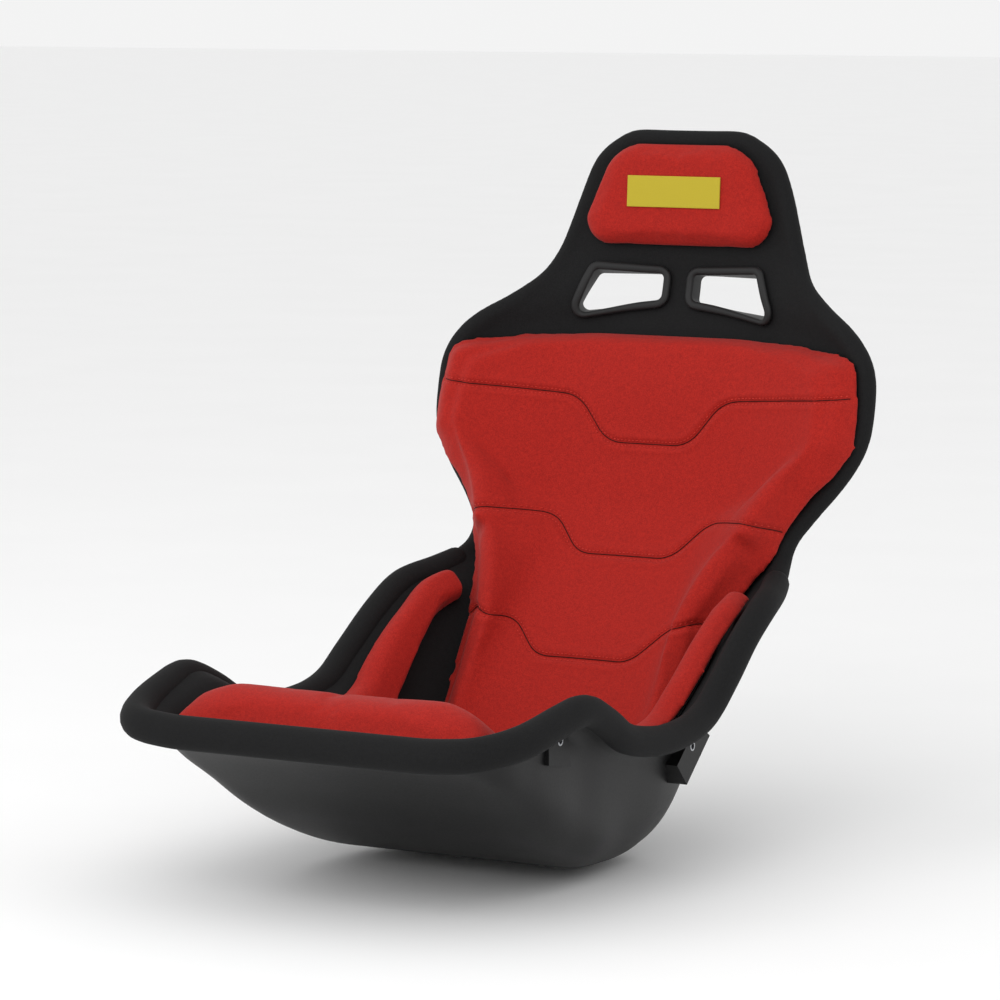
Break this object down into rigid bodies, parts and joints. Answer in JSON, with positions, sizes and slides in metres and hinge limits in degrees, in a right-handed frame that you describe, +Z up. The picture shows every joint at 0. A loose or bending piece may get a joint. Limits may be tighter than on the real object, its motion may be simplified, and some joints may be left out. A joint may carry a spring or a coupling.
{
  "type": "racing seat",
  "caption": "Fixed-back bucket racing seat: thin moulded shell with wide shoulder wings, padded edge, red strapped-on cushions and two belt slots, bolted at its sides.",
  "frame": {"origin": "midpoint of the four side mounting bolts", "axes": "+X to the occupant's left, which is also across the mounts, -Y forwards, +Z up, with the seat pitched as it is bolted in"},
  "size_m": [0.566, 0.8764, 0.7741],
  "materials": {
    "shell": "satin glass-fibre moulding",
    "lining": "black knitted fabric on thin foam",
    "edge": "black knitted fabric over a foam roll",
    "cover": "red knitted fabric, double topstitched seams",
    "foam": "cut polyurethane foam",
    "tape": "hook-and-loop tape",
    "bezel": "satin moulded plastic",
    "patch": "plain yellow weave",
    "steel": "zinc plated"
  },
  "bodies": {
    "root": {"shell": "shell", "lining_pan": "lining", "lining_back": "lining", "lining_head": "lining", "edge_front": "edge", "edge_left": "edge", "edge_right": "edge", "edge_head": "edge", "slot_bezel_left": "bezel", "slot_bezel_right": "bezel", "slot_retainer_left": "bezel", "slot_retainer_right": "bezel", "headrest_cover": "cover", "headrest_foam": "foam", "backrest_cover": "cover", "backrest_foam": "foam", "base_cover": "cover", "base_foam": "foam", "thigh_cover": "cover", "thigh_foam": "foam", "hip_left_cover": "cover", "hip_left_foam": "foam", "hip_right_cover": "cover", "hip_right_foam": "foam", "tape_head": "tape", "tape_back_upper": "tape", "tape_back_lower": "tape", "tape_base": "tape", "tape_thigh": "tape", "tape_hip_left": "tape", "tape_hip_right": "tape", "headrest_patch": "patch", "mount_front_left": "shell", "mount_front_right": "shell", "mount_rear_left": "shell", "mount_rear_right": "shell", "insert_front_left": "steel", "insert_front_right": "steel", "insert_rear_left": "steel", "insert_rear_right": "steel"}
  },
  "joints": []
}
